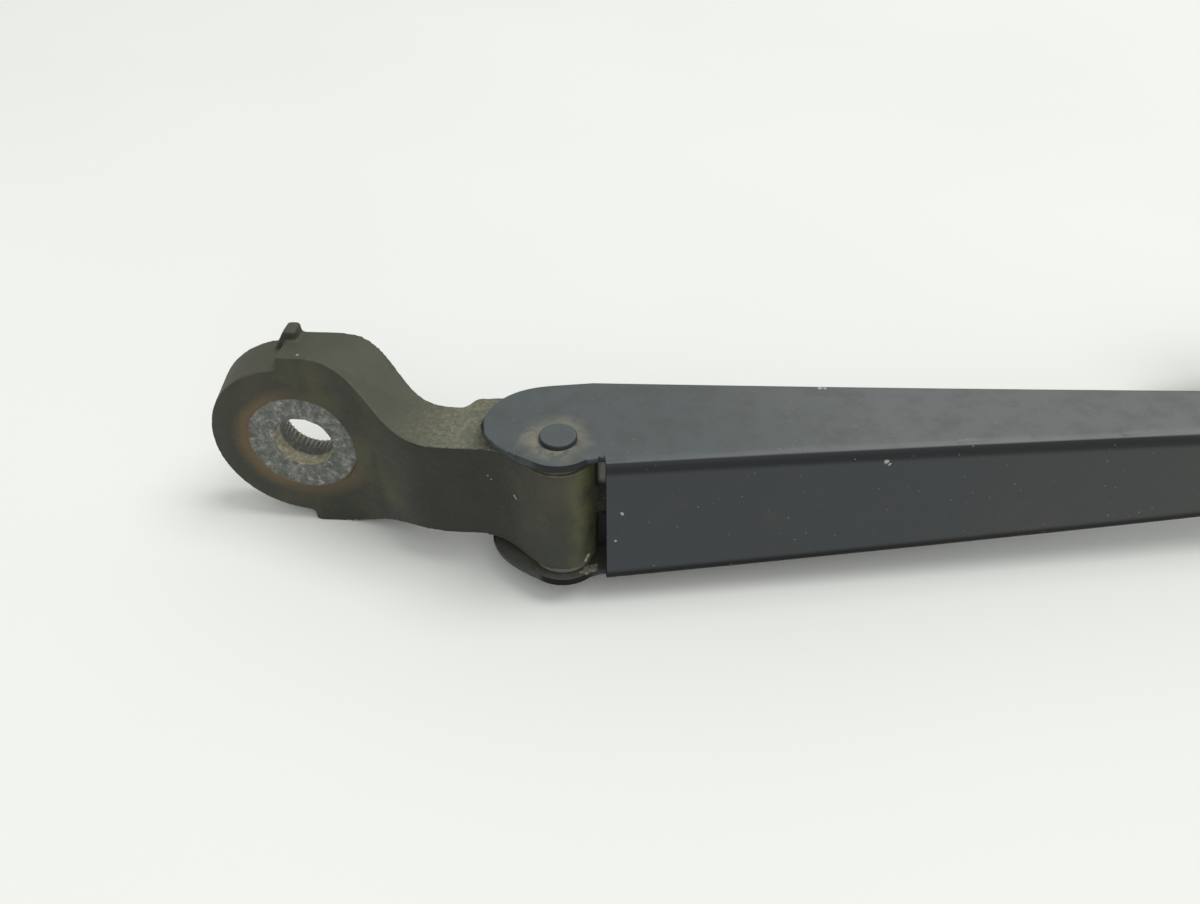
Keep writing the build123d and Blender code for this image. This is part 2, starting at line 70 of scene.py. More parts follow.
# %% Camera
EYE = Vector((56.49, -111.82, 92.36)) * MM
PITCH = math.radians(39.3)
AZIMUTH = math.radians(4.64)
ROLL = math.radians(-0.69)
LENS = 27.9
right = Vector((math.cos(AZIMUTH), math.sin(AZIMUTH), 0))
level = Vector((-math.sin(AZIMUTH), math.cos(AZIMUTH), 0))
look = level * math.cos(PITCH) - Vector((0, 0, math.sin(PITCH)))
up = right.cross(look)
side = right * math.cos(ROLL) + up * math.sin(ROLL)
top = up * math.cos(ROLL) - right * math.sin(ROLL)
camera = bpy.data.objects.new("camera", bpy.data.cameras.new("camera"))
camera.data.lens = LENS
camera.data.sensor_width = 36
camera.data.clip_start = 0.005
turn = Matrix((side, top, -look)).transposed()
camera.matrix_world = Matrix.Translation(EYE) @ turn.to_4x4()
scene.collection.objects.link(camera)
scene.camera = camera
print("camera at", [round(c, 4) for c in EYE])

# %% [markdown]
# Every finish is a small network of nodes. A few helpers keep those networks short. The first ones
# add a node, fill its sockets with a constant or a link, and do one step of arithmetic.

# %% Node helpers
def put(tree, kind, settings=None, **values):
    """Adds a node; a value for an input may be a constant or another node's output."""
    node = tree.nodes.new(kind)
    for key, value in (settings or {}).items():
        setattr(node, key, value)
    for name, value in values.items():
        fill(tree, node.inputs[name.replace("_", " ")], value)
    return node


def fill(tree, socket, value):
    if isinstance(value, bpy.types.NodeSocket):
        tree.links.new(value, socket)
    else:
        socket.default_value = value


def maths(tree, operation, first, second):
    node = put(tree, "ShaderNodeMath", {"operation": operation})
    fill(tree, node.inputs[0], first)
    fill(tree, node.inputs[1], second)
    return node.outputs[0]


def times(tree, first, second):
    return maths(tree, "MULTIPLY", first, second)


def plus(tree, first, second):
    return maths(tree, "ADD", first, second)


def less(tree, first, second):
    return maths(tree, "SUBTRACT", first, second)


def larger(tree, first, second):
    return maths(tree, "MAXIMUM", first, second)


def part_of(tree, vector, axis):
    return put(tree, "ShaderNodeSeparateXYZ", Vector=vector).outputs[axis]


print("node helpers ready")

# %% [markdown]
# The next ones stand for what comes up again and again in a finish: a soft threshold, a product of
# masks, a mix of two colours, a tint laid over a colour, a noise, and the distance from a point or
# an axis.

# %% Pattern helpers
def soft(tree, value, low, high):
    """0 below low and 1 above high, smooth between; low may be the larger one."""
    node = put(tree, "ShaderNodeMapRange", {"interpolation_type": "SMOOTHSTEP"}, Value=value)
    node.inputs["From Min"].default_value = min(low, high)
    node.inputs["From Max"].default_value = max(low, high)
    node.inputs["To Min"].default_value = 0 if low < high else 1
    node.inputs["To Max"].default_value = 1 if low < high else 0
    return node.outputs[0]


def both(tree, *masks):
    result = masks[0]
    for mask in masks[1:]:
        result = times(tree, result, mask)
    return result


def mix(tree, share, first, second):
    node = put(tree, "ShaderNodeMix", {"data_type": "RGBA"})
    fill(tree, node.inputs[0], share)
    fill(tree, node.inputs[6], (*first, 1) if isinstance(first, tuple) else first)
    fill(tree, node.inputs[7], (*second, 1) if isinstance(second, tuple) else second)
    return node.outputs[2]


def laid(tree, colour, mask, share, tint):
    """The colour with a tint laid over it where the mask is, at the given share."""
    return mix(tree, times(tree, mask, share), colour, tint)


def noise(tree, place, size, detail=3.0, rough=0.55):
    """Noise with features of about the given size in millimetres."""
    node = put(tree, "ShaderNodeTexNoise", Vector=place, Scale=1 / (size * MM), Detail=detail,
               Roughness=rough)
    return node.outputs[0]


def wobble(tree, pattern, width):
    """A pattern between 0 and 1 as a shift to either side, width from end to end."""
    return times(tree, less(tree, pattern, 0.5), width)


def away(tree, place, point, along=(1, 1, 1)):
    """Distance in millimetres from a point, or from an axis where along has a 0."""
    flat = put(tree, "ShaderNodeVectorMath", {"operation": "MULTIPLY"})
    fill(tree, flat.inputs[0], place)
    flat.inputs[1].default_value = [a / MM for a in along]
    gap = put(tree, "ShaderNodeVectorMath", {"operation": "DISTANCE"})
    fill(tree, gap.inputs[0], flat.outputs[0])
    gap.inputs[1].default_value = [p * a for p, a in zip(point, along)]
    return gap.outputs["Value"]


def spots(tree, place, points):
    """Small ragged marks at the given points: (x, y, z, radius) in millimetres."""
    ragged = wobble(tree, noise(tree, place, 0.5), 0.9)
    total = None
    for x, y, z, radius in points:
        gap = plus(tree, away(tree, place, (x, y, z)), ragged)
        mark = soft(tree, gap, radius, radius * 0.45)
        total = mark if total is None else larger(tree, total, mark)
    return total


print("pattern helpers ready")

# %% [markdown]
# The last two open a finish and close it. Every pattern reads Object coordinates, so it stays on its
# piece when the piece moves. The relief is a fine bump; a Bevel node under it can round a sharp rim.

# %% Finish helpers
def finish_of(name, metallic=0.0, specular=0.5):
    """A new finish: its tree, its shader, and the place and normal in the part's own frame."""
    material = bpy.data.materials.new(name)
    material.use_nodes = True
    tree = material.node_tree
    shader = tree.nodes["Principled BSDF"]
    shader.inputs["Metallic"].default_value = metallic
    shader.inputs["Specular IOR Level"].default_value = specular
    coordinates = put(tree, "ShaderNodeTexCoord")
    return material, tree, shader, coordinates.outputs["Object"], coordinates.outputs["Normal"]


def relief(tree, shader, height, depth, rim=0.0):
    """Bump from a height between 0 and 1, with its depth and a rounded rim in millimetres."""
    bump = put(tree, "ShaderNodeBump", Height=height, Strength=1.0, Distance=depth * MM)
    if rim:
        round_rim = put(tree, "ShaderNodeBevel", {"samples": 6}, Radius=rim * MM)
        tree.links.new(round_rim.outputs[0], bump.inputs["Normal"])
    tree.links.new(bump.outputs[0], shader.inputs["Normal"])


print("finish helpers ready")

# %% [markdown]
# The table is plain and pale. It lies at the lowest point of the part and reaches far past the
# picture.

# %% Table
FLOOR = cad_box[0][2]
TABLE_HALF = 4.0
sheet = bpy.data.meshes.new("table")
grid = bmesh.new()
bmesh.ops.create_grid(grid, x_segments=8, y_segments=8, size=TABLE_HALF)
grid.to_mesh(sheet)
grid.free()
sheet.transform(Matrix.Translation((0, 0, FLOOR)))
table = bpy.data.objects.new("table", sheet)
scene.collection.objects.link(table)
material, tree, shader, place, normal = finish_of("pale_table", specular=0.1)
cloud = noise(tree, place, 160.0, 2.0)
pale = mix(tree, cloud, (0.80, 0.81, 0.77), (0.86, 0.865, 0.83))
fill(tree, shader.inputs["Base Color"], pale)
shader.inputs["Roughness"].default_value = 0.9
sheet.materials.append(material)
print("table at", round(FLOOR, 5))

# %% [markdown]
# The light is that of a bright room. A soft lamp stands above and to the right, so that the upward
# faces are light and the shadow gathers under the neck. A second, much larger one in front fills
# the dark side a little.

# %% Light
ROOM_COLOUR = (0.98, 1.0, 1.0, 1)
ROOM_STRENGTH = 0.50
LAMP_TARGET = Vector((0.08, 0, 0))
world = bpy.data.worlds.new("room")
world.use_nodes = True
background = world.node_tree.nodes["Background"]
background.inputs["Color"].default_value = ROOM_COLOUR
background.inputs["Strength"].default_value = ROOM_STRENGTH
scene.world = world


def lamp(name, at, size, power):
    light = bpy.data.lights.new(name, "AREA")
    light.shape = "DISK"
    light.size = size
    light.energy = power
    holder = bpy.data.objects.new(name, light)
    scene.collection.objects.link(holder)
    holder.location = at
    holder.rotation_euler = (LAMP_TARGET - at).to_track_quat("-Z", "Y").to_euler()
    print("lamp", name, "of", power, "watts")


lamp("room_lamp", Vector((1.45, -0.12, 2.8)), size=2.0, power=54.0)
lamp("front_fill", Vector((1.6, -4.0, 4.0)), size=4.6, power=84.0)

# %% [markdown]
# The arm is pressed sheet steel with a blue-grey satin paint that has seen some winters. Its pattern
# is laid out in the arm's own frame, which is turned by ten degrees about the rivet, so a Mapping
# node brings each place there first.

# %% Arm frame
RIVET = Vector((42.5, -11.1, 0))
ARM_TURN = math.radians(10.0)
arm_to_part = Matrix.Translation(RIVET) @ Matrix.Rotation(ARM_TURN, 4, "Z")


def arm_place(tree, place):
    """The place in metres along the arm, across it and up, counted from the rivet."""
    back = Matrix.Rotation(-ARM_TURN, 3, "Z")
    shift = -(back @ RIVET) * MM
    mapping = put(tree, "ShaderNodeMapping", Vector=place, Location=shift,
                  Rotation=(0, 0, -ARM_TURN))
    return mapping.outputs[0]


print("arm frame at", list(RIVET), "turned by", round(math.degrees(ARM_TURN), 1), "degrees")

# %% [markdown]
# On its outer side painted shade darkens the paint along the fold, above and below. The channel
# gets lower as it runs out, along a slightly bowed line, so its half height is worked out from the
# run first, and the two bands are measured from there.

# %% Fold bands
WEB_START = 0.0061
BOW_END = 0.082
HALF_HEIGHT = 0.0117
TAPER = 0.0290
BOW = 0.0905


def fold_bands(tree, arm, rise):
    """Masks of the painted shade along the upper fold and along the lower fold."""
    run = part_of(tree, arm, 0)
    height = part_of(tree, arm, 2)
    past = less(tree, run, WEB_START)
    fall = times(tree, past, TAPER)
    bow = times(tree, both(tree, past, less(tree, run, BOW_END)), BOW)
    half = less(tree, less(tree, HALF_HEIGHT, fall), bow)
    outer = both(tree, soft(tree, part_of(tree, arm, 1), -0.0042, -0.0050),
                 soft(tree, rise, 0.9, 0.7))
    upper = both(tree, outer, soft(tree, less(tree, half, height), 0.0026, 0.0016))
    lower = both(tree, outer, soft(tree, plus(tree, half, height), 0.0028, 0.0016))
    return upper, lower


print("fold bands start", WEB_START / MM, "mm from the rivet")

# %% [markdown]
# Three layers make up the rest. The paint drifts from a cool to a warm grey along the arm, with
# broad brown stains. The upward flange carries a worn, mottled film, with painted light that makes it
# lighter on upward faces and more so further along the arm. A beige ring of dust sits round the
# rivet.

# %% Paint layers
def base_paint(tree, arm, drift):
    cool = mix(tree, drift, (0.021, 0.028, 0.034), (0.030, 0.037, 0.042))
    warm = mix(tree, drift, (0.025, 0.029, 0.029), (0.034, 0.036, 0.034))
    colour = mix(tree, soft(tree, part_of(tree, arm, 0), 0.0, 0.11), cool, warm)
    stain = soft(tree, noise(tree, arm, 11.0, 4.0, 0.65), 0.56, 0.72)
    return laid(tree, colour, stain, 0.3, (0.050, 0.044, 0.036))


def worn_film_and_painted_light(tree, arm):
    # Painted light: the film grows lighter further along the arm.
    far = soft(tree, part_of(tree, arm, 0), -0.006, 0.075)
    film = mix(tree, far, (0.084, 0.100, 0.098), (0.142, 0.147, 0.145))
    mottle = soft(tree, noise(tree, arm, 4.0, 6.0, 0.7), 0.42, 0.66)
    return laid(tree, film, mottle, 0.28, (0.062, 0.058, 0.050))


def rivet_dust(tree, arm):
    gap = plus(tree, away(tree, arm, (-0.4, 0, 0), (1, 1, 0)),
               wobble(tree, noise(tree, arm, 2.2), 4.5))
    return both(tree, soft(tree, gap, 6.0, 2.6), soft(tree, noise(tree, arm, 1.1), 0.22, 0.6))


print("paint layers ready")

# %% [markdown]
# Now the layers are put on top of each other, and grime inside the lower ear and a few white nicks
# finish the paint. The same finish without the ring of dust goes on the rivets.

# %% Arm paint
ARM_SHINE = 0.36
ARM_NICKS = [
    (8.3, -6.15, 2.3, 0.26), (7.3, -6.15, -3.0, 0.22), (45.6, -6.1, 8.4, 0.42),
    (46.2, -6.1, 8.0, 0.30), (40.0, 8.9, 10.8, 0.4), (40.8, 8.8, 10.8, 0.3),
    (31.0, -5.6, 10.9, 0.28), (12.0, -5.2, 11.5, 0.20),
]


def painted_arm(name, dust_ring=True):
    material, tree, shader, place, normal = finish_of(name, specular=ARM_SHINE)
    arm = arm_place(tree, place)
    rise = part_of(tree, normal, 2)
    drift = noise(tree, arm, 30.0, 3.0, 0.6)
    upper, lower = fold_bands(tree, arm, rise)
    colour = base_paint(tree, arm, drift)
    # Painted shade: the fold bands darken the paint along the upper and the lower fold.
    colour = laid(tree, colour, upper, 0.85, (0.009, 0.010, 0.011))
    colour = laid(tree, colour, lower, 0.9, (0.010, 0.0095, 0.008))
    # Worn film and painted light: the upward faces take the lighter film.
    top = soft(tree, rise, 0.75, 0.97)
    film_and_light_share = both(tree, top, plus(tree, 0.72, times(tree, drift, 0.4)))
    colour = mix(tree, film_and_light_share, colour, worn_film_and_painted_light(tree, arm))
    if dust_ring:
        ring = both(tree, top, rivet_dust(tree, arm))
        colour = laid(tree, colour, ring, 0.72, (0.25, 0.23, 0.165))
    inside = both(tree, soft(tree, part_of(tree, arm, 2), -0.0095, -0.0104), top)
    grime = mix(tree, noise(tree, arm, 1.6), (0.030, 0.028, 0.022), (0.085, 0.078, 0.058))
    colour = laid(tree, colour, inside, 0.8, grime)
    nicks = spots(tree, arm, ARM_NICKS)
    dots = soft(tree, noise(tree, arm, 0.45, 0.0), 0.84, 0.86)
    pale = larger(tree, nicks, times(tree, dots, 0.3))
    colour = laid(tree, colour, pale, 0.8, (0.42, 0.43, 0.42))
    fill(tree, shader.inputs["Base Color"], colour)
    # The painted shade also lowers the specular along the fold bands.
    fold_shade = larger(tree, lower, times(tree, upper, 0.4))
    shine = less(tree, ARM_SHINE, times(tree, fold_shade, 0.30))
    fill(tree, shader.inputs["Specular IOR Level"], shine)
    fill(tree, shader.inputs["Roughness"], plus(tree, 0.40, times(tree, drift, 0.16)))
    height = less(tree, noise(tree, arm, 0.35, 2.0), times(tree, nicks, 2.0))
    relief(tree, shader, height, depth=0.02, rim=0.35)
    return material


arm_paint = painted_arm("arm_paint")
rivet_paint = painted_arm("rivet_paint", dust_ring=False)
print("arm paints:", arm_paint.name, rivet_paint.name)

# %% [markdown]
# The head is a zinc casting. Its front is dark olive, with painted shade that makes it almost black
# in the hollow of the neck, and its upper faces carry a gritty khaki film that is thickest at the
# neck.

# %% Cast body
def cast_body(tree, place, rise, grit, blotch):
    """The casting's colour with painted shade in the hollow of the neck, and a mask of the neck."""
    run = part_of(tree, place, 0)
    front = mix(tree, soft(tree, blotch, 0.35, 0.7), (0.026, 0.029, 0.020), (0.046, 0.042, 0.027))
    # Painted shade: the front darkens almost to black in the hollow of the neck.
    hollow_shade = both(tree, soft(tree, run, 0.014, 0.022), soft(tree, run, 0.038, 0.033))
    front = laid(tree, front, hollow_shade, 0.6, (0.006, 0.007, 0.005))
    near = mix(tree, blotch, (0.053, 0.055, 0.039), (0.077, 0.076, 0.051))
    far = mix(tree, soft(tree, grit, 0.35, 0.75), (0.098, 0.102, 0.068), (0.20, 0.20, 0.133))
    cloud = noise(tree, place, 16.0, 2.0)
    neck = soft(tree, plus(tree, run, times(tree, cloud, 0.012)), 0.020, 0.036)
    upper = mix(tree, neck, near, far)
    return mix(tree, soft(tree, rise, 0.25, 0.8), front, upper), neck


print("cast body ready")

# %% [markdown]
# Weather has left its marks: a green tinge beside the eye and rust that has crept out round the seat.
# A yellowish patch lies on the barrel, and painted light above and painted shade below stand on the
# flank in the gap beside it. Rings are simply distances from the bore's axis, with a noise added so
# that no edge is a perfect circle.

# %% Weather and painted light on the casting
def weather_and_painted_light(tree, place, colour, radius, blotch):
    run, depth, height = (part_of(tree, place, axis) for axis in range(3))
    face = soft(tree, depth, 0.0012, 0.0004)
    olive = both(tree, soft(tree, away(tree, place, (12.0, -2, -3)), 9.0, 3.0), face)
    glow = both(tree, soft(tree, away(tree, place, (3.5, -0.4, 10.5)), 6.5, 2.0), face)
    green = both(tree, larger(tree, olive, glow), soft(tree, blotch, 0.3, 0.6))
    colour = laid(tree, colour, green, 0.55, (0.066, 0.066, 0.028))
    ragged = plus(tree, radius, wobble(tree, blotch, 4.0))
    rust = both(tree, soft(tree, ragged, 11.4, 9.0), soft(tree, run, 0.004, -0.007), face)
    under = both(tree, soft(tree, ragged, 11.6, 9.2), soft(tree, height, 0.0, -0.008), face)
    halo = larger(tree, rust, times(tree, under, 0.6))
    colour = laid(tree, colour, halo, 0.6, (0.150, 0.095, 0.040))
    # A yellowish-olive patch on the right front of the barrel.
    yellow_patch = both(tree, soft(tree, away(tree, place, (46.8, -14.2, 0), (1, 1, 0)), 4.2, 1.6),
                 soft(tree, noise(tree, place, 3.5), 0.2, 0.65))
    colour = laid(tree, colour, yellow_patch, 0.62, (0.082, 0.086, 0.029))
    # Painted light and shade on the flank beside the barrel: light grey above, near black below.
    flank = both(tree, soft(tree, run, 0.0476, 0.0484), soft(tree, depth, -0.0108, -0.0104),
                 soft(tree, depth, -0.0096, -0.0100))
    painted_light_and_shade = mix(tree, soft(tree, height, 0.0030, 0.0044),
                (0.012, 0.015, 0.017), (0.34, 0.35, 0.32))
    return laid(tree, colour, flank, 0.9, painted_light_and_shade)


print("weather ready")

# %% [markdown]
# The nut seat is bare, scuffed metal, and so is the bore: a bright lip at its mouth and a duller wall
# behind it.

# %% Seat and bore
def bare_metal(tree, place, colour, radius):
    """The colour with the bare seat and bore laid in, and a mask of the seat."""
    depth = part_of(tree, place, 1)
    scuff = noise(tree, place, 0.8, 6.0, 0.75)
    smear = noise(tree, place, 1.8, 8.0, 0.82)
    seat = both(tree, soft(tree, radius, 9.0, 8.75), soft(tree, depth, -0.0003, -0.0001))
    metal = mix(tree, soft(tree, smear, 0.34, 0.66), (0.078, 0.082, 0.077), (0.185, 0.19, 0.17))
    bright = both(tree, soft(tree, smear, 0.46, 0.62), soft(tree, scuff, 0.42, 0.62))
    metal = laid(tree, metal, bright, 0.75, (0.42, 0.42, 0.385))
    metal = laid(tree, metal, soft(tree, scuff, 0.42, 0.33), 0.7, (0.05, 0.054, 0.052))
    colour = mix(tree, seat, colour, metal)
    bore = both(tree, soft(tree, radius, 5.35, 5.2), soft(tree, depth, 0.0, 0.0004))
    rubbed = soft(tree, scuff, 0.4, 0.65)
    lip = mix(tree, rubbed, (0.27, 0.255, 0.15), (0.50, 0.48, 0.36))
    deep = mix(tree, rubbed, (0.09, 0.093, 0.08), (0.20, 0.202, 0.175))
    wall = mix(tree, soft(tree, depth, 0.0022, 0.0030), lip, deep)
    return mix(tree, bore, colour, wall), seat


print("bare metal ready")

# %% [markdown]
# The casting's finish puts these together. White nicks and pale grains come last, and the grit also
# drives the roughness and the relief, so that light and colour agree.

# %% Cast metal
CAST_NICKS = [
    (36.1, -12.4, 1.8, 0.45), (31.8, -10.1, 3.7, 0.35), (32.4, -10.2, 3.2, 0.35),
    (46.6, -14.4, -7.9, 0.5), (46.3, -14.7, -8.4, 0.45), (2.4, 0.5, 16.45, 0.22),
    (33.6, -10.8, 5.3, 0.25),
]


def cast_metal(name):
    material, tree, shader, place, normal = finish_of(name, specular=0.4)
    rise = part_of(tree, normal, 2)
    radius = away(tree, place, (0, 0, 0), (1, 0, 1))
    grit = noise(tree, place, 0.55, 5.0, 0.65)
    blotch = noise(tree, place, 7.0, 4.0, 0.6)
    colour, neck = cast_body(tree, place, rise, grit, blotch)
    colour = weather_and_painted_light(tree, place, colour, radius, blotch)
    colour, seat = bare_metal(tree, place, colour, radius)
    nicks = spots(tree, place, CAST_NICKS)
    grains = both(tree, soft(tree, noise(tree, place, 0.6, 1.0), 0.66, 0.72),
                  soft(tree, rise, 0.3, 0.8), neck)
    pale = larger(tree, nicks, times(tree, grains, 0.28))
    colour = laid(tree, colour, pale, 0.7, (0.45, 0.44, 0.38))
    fill(tree, shader.inputs["Base Color"], colour)
    fill(tree, shader.inputs["Metallic"], times(tree, seat, 0.35))
    fill(tree, shader.inputs["Roughness"], plus(tree, 0.48, times(tree, grit, 0.3)))
    relief(tree, shader, plus(tree, grit, times(tree, blotch, 0.5)), depth=0.10)
    return material


cast_finish = cast_metal("cast_metal")
print("head finish:", cast_finish.name)

# %% [markdown]
# The pieces inside the arm and the blade get plainer finishes, each with its own grain: oiled spring
# steel with a breath of rust, black painted bar, nylon bushes, fine-grained black plastic, and
# rubber with lengthwise draw lines.

# %% Plain finishes
RUST = (0.13, 0.062, 0.025)
DUST = (0.24, 0.225, 0.18)
LENGTHWISE = (0.05, 1, 1)


def plain(name, dark, light, size, rough, depth, metallic=0.0, rust=0.0, stretch=(1, 1, 1)):
    """Two tones mixed by a grain of the given size, with some rust and a little dust on top."""
    material, tree, shader, place, normal = finish_of(name, metallic, 0.4)
    turned = put(tree, "ShaderNodeMapping", Vector=arm_place(tree, place), Scale=stretch)
    grain = noise(tree, turned.outputs[0], size, 4.0, 0.6)
    broad = noise(tree, place, size * 60, 4.0)
    colour = mix(tree, times(tree, plus(tree, grain, broad), 0.5), dark, light)
    if rust:
        colour = laid(tree, colour, soft(tree, broad, 0.5, 0.68), rust, RUST)
    upward = soft(tree, part_of(tree, normal, 2), 0.6, 1.0)
    colour = laid(tree, colour, both(tree, upward, soft(tree, broad, 0.35, 0.65)), 0.07, DUST)
    fill(tree, shader.inputs["Base Color"], colour)
    fill(tree, shader.inputs["Roughness"], plus(tree, rough, times(tree, grain, 0.18)))
    relief(tree, shader, grain, depth)
    return material


spring_steel = plain("spring_steel", (0.05, 0.05, 0.052), (0.17, 0.165, 0.155), 0.8, 0.32, 0.02,
                     metallic=0.75, rust=0.45)
bar_paint = plain("bar_paint", (0.020, 0.021, 0.023), (0.048, 0.049, 0.050), 0.5, 0.36, 0.02,
                  rust=0.18)
pin_steel = plain("pin_steel", (0.16, 0.155, 0.145), (0.36, 0.355, 0.34), 0.4, 0.34, 0.015,
                  metallic=0.85, rust=0.3)
bush_nylon = plain("bush_nylon", (0.10, 0.098, 0.088), (0.21, 0.205, 0.185), 0.6, 0.5, 0.02)
blade_black = plain("blade_plastic", (0.017, 0.018, 0.019), (0.040, 0.041, 0.042), 0.35, 0.46, 0.03)
clip_black = plain("clip_plastic", (0.026, 0.026, 0.027), (0.052, 0.052, 0.052), 0.35, 0.42, 0.02)
rubber_black = plain("rubber", (0.012, 0.012, 0.013), (0.035, 0.034, 0.033), 0.6, 0.62, 0.03,
                     stretch=LENGTHWISE)
rail_steel = plain("rail_steel", (0.22, 0.22, 0.215), (0.42, 0.42, 0.41), 0.5, 0.3, 0.01,
                   metallic=0.9, rust=0.15, stretch=LENGTHWISE)
print("plain finishes ready")

# %% [markdown]
# Each node of the frame gets its finish by name.

# %% Finishes by name
FINISHES = {
    "pivot_head": cast_finish, "arm_channel": arm_paint, "hinge_rivet": rivet_paint,
    "hinge_bush_upper": bush_nylon, "hinge_bush_lower": bush_nylon, "spring_pin": pin_steel,
    "spring_link": bar_paint, "tension_spring": spring_steel, "arm_bar": bar_paint,
    "bar_rivet_1": rivet_paint, "bar_rivet_2": rivet_paint, "blade_clip": clip_black,
    "blade_pin": pin_steel, "blade_frame": blade_black, "wiper_rubber": rubber_black,
    "rubber_rail_upper": rail_steel, "rubber_rail_lower": rail_steel,
}


def dress(mesh, finish):
    mesh.materials.clear()
    mesh.materials.append(finish)


for name, finish in FINISHES.items():
    dress(nodes[name].data, finish)
print("finishes given to", len(FINISHES), "nodes")

# %% [markdown]
# A node's mesh is loose triangles and is never changed itself. Where a piece needs more shape, a copy
# with its triangles joined takes the node's place, gets its modifiers, and is then turned into a
# plain mesh.

# %% Mesh helpers
def merged_copy(node, name):
    """A copy of a node's mesh with its loose triangles joined."""
    mesh = nodes[node].data.copy()
    mesh.name = name
    joined = bmesh.new()
    joined.from_mesh(mesh)
    bmesh.ops.remove_doubles(joined, verts=joined.verts, dist=2e-6)
    joined.to_mesh(mesh)
    joined.free()
    piece = bpy.data.objects.new(name, mesh)
    scene.collection.objects.link(piece)
    return piece


def bake_modifiers(piece):
    """Turns the evaluated piece into a plain mesh and drops its modifiers."""
    graph = bpy.context.evaluated_depsgraph_get()
    mesh = bpy.data.meshes.new_from_object(piece.evaluated_get(graph))
    piece.modifiers.clear()
    piece.data = mesh


print("mesh helpers ready")

# %% [markdown]
# A casting has no sharp edge anywhere. Bevelling a triangulated solid edge by edge is fragile, so a
# copy of the head is remeshed into even small faces and smoothed a few times: the flat faces stay
# where they are and every edge takes a radius of about half a millimetre. A very small displacement
# adds the foundry grain as real geometry.

# %% Rounded casting
VOXEL = 0.26
SMOOTHINGS = 3
GRAIN_SIZE = 1.1
GRAIN_DEPTH = 0.08
head = merged_copy("pivot_head", "cast_head")
remesh = head.modifiers.new("even", "REMESH")
remesh.mode = "VOXEL"
remesh.voxel_size = VOXEL * MM
smooth = head.modifiers.new("round", "SMOOTH")
smooth.factor = 0.5
smooth.iterations = SMOOTHINGS
grain = bpy.data.textures.new("foundry_grain", "CLOUDS")
grain.noise_scale = GRAIN_SIZE * MM
displace = head.modifiers.new("grain", "DISPLACE")
displace.texture = grain
displace.texture_coords = "LOCAL"
displace.strength = GRAIN_DEPTH * MM
bake_modifiers(head)
head.data.shade_smooth()
dress(head.data, cast_finish)
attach(head, "head")
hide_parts("pivot_head")
print("cast head:", len(head.data.polygons), "faces")

# %% [markdown]
# The arm is folded from sheet. The solid arrives as flat triangles, so a copy of it is shaded smooth
# over the fold and kept crisp at the rims. The Weighted Normal modifier lets the large flat faces
# win, which keeps the paint free of false shading. The fold is real; only the thin rims are rounded
# in the finish.

# %% Folded sheet
CRISP = math.radians(50)
channel = merged_copy("arm_channel", "pressed_channel")
channel.data.shade_smooth()
channel.data.set_sharp_from_angle(angle=CRISP)
weighted = channel.modifiers.new("level", "WEIGHTED_NORMAL")
weighted.weight = 90
weighted.keep_sharp = True
bake_modifiers(channel)
dress(channel.data, arm_paint)
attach(channel, "arm")
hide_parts("arm_channel")
print("pressed channel:", len(channel.data.polygons), "faces")

# %% [markdown]
# At the end of its rock the blade's body meets the free edge of the flanges: that is its stop.
# Dressing the edge back by less than a tenth of a millimetre lets the two meet without cutting into
# each other.

# %% Dressed edge
DRESS = 0.08
DRESS_FROM = 120
FREE_SIDE = 0.5
to_arm = arm_to_part.inverted()
back = arm_to_part.to_3x3() @ Vector((0, DRESS, 0)) * MM
dressed = 0
for vert in channel.data.vertices:
    spot = to_arm @ (vert.co / MM)
    if spot.x > DRESS_FROM and spot.y > FREE_SIDE:
        vert.co -= back
        dressed += 1
print("dressed", dressed, "points of the free edge")

# %% [markdown]
# Geometry Nodes grow what repeats or follows a path. A tree gets named inputs, ends in Realize
# Instances and Set Material, and is used once on an object; the result is kept as a plain mesh.

# %% Tree helpers
def node_tree(name):
    tree = bpy.data.node_groups.new(name, "GeometryNodeTree")
    tree.interface.new_socket("Geometry", in_out="OUTPUT", socket_type="NodeSocketGeometry")
    return tree


def input_socket(tree, name, kind, value):
    socket = tree.interface.new_socket(name, in_out="INPUT", socket_type=kind)
    socket.default_value = value


def close_tree(tree, geometry, finish):
    """Ends a tree in Realize Instances and Set Material."""
    real = put(tree, "GeometryNodeRealizeInstances", Geometry=geometry)
    done = put(tree, "GeometryNodeSetMaterial", Geometry=real.outputs[0], Material=finish)
    out = put(tree, "NodeGroupOutput")
    tree.links.new(done.outputs[0], out.inputs[0])


def grown(name, tree, sizes, base=None):
    """A piece made by a tree with the given sizes, on an empty or a base mesh, as a plain mesh."""
    piece = bpy.data.objects.new(name, base or bpy.data.meshes.new(name))
    scene.collection.objects.link(piece)
    grow = piece.modifiers.new("grow", "NODES")
    grow.node_group = tree
    for label, value in sizes.items():
        grow[tree.interface.items_tree[label].identifier] = value
    bpy.context.view_layer.update()
    bake_modifiers(piece)
    piece.data.name = name
    print(name, len(piece.data.polygons), "faces")
    return piece


def held(name, mesh):
    """An object that only carries a mesh for a tree to repeat."""
    holder = bpy.data.objects.new(name, mesh)
    scene.collection.objects.link(holder)
    return holder


print("tree helpers ready")

# %% [markdown]
# Below its smooth lip the bore is serrated, so that it grips the taper of the wiper spindle. One
# tooth is a small wedge along the bore, with its edge towards the axis.

